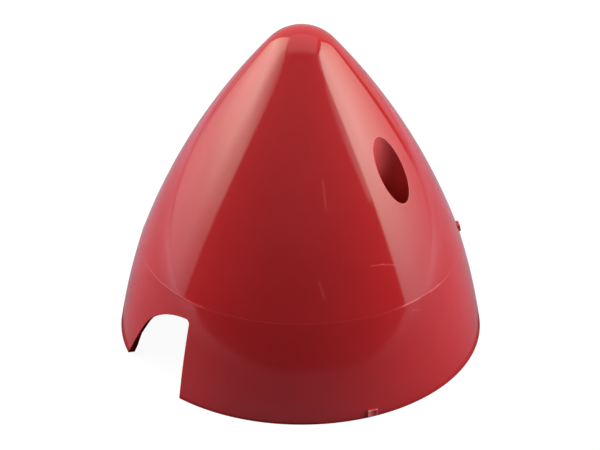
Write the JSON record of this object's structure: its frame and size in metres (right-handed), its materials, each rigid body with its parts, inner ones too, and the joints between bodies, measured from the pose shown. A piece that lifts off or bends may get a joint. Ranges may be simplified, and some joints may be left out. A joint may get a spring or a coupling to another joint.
{
  "type": "propeller spinner cone",
  "caption": "Pointed plastic cone that covers a propeller hub, with a blade notch on each side of its rim and sunken wells for its screws.",
  "frame": {"origin": "centre of the open rim, in the plane of the rim", "axes": "+Z along the cone's axis to the nose, +X through one screw well, the blade notches on the -Y and +Y sides"},
  "size_m": [0.063, 0.063, 0.0551],
  "materials": {
    "red_plastic": "glossy moulded plastic, coloured through"
  },
  "bodies": {
    "root": {"spinner_cone": "red_plastic"}
  },
  "joints": []
}
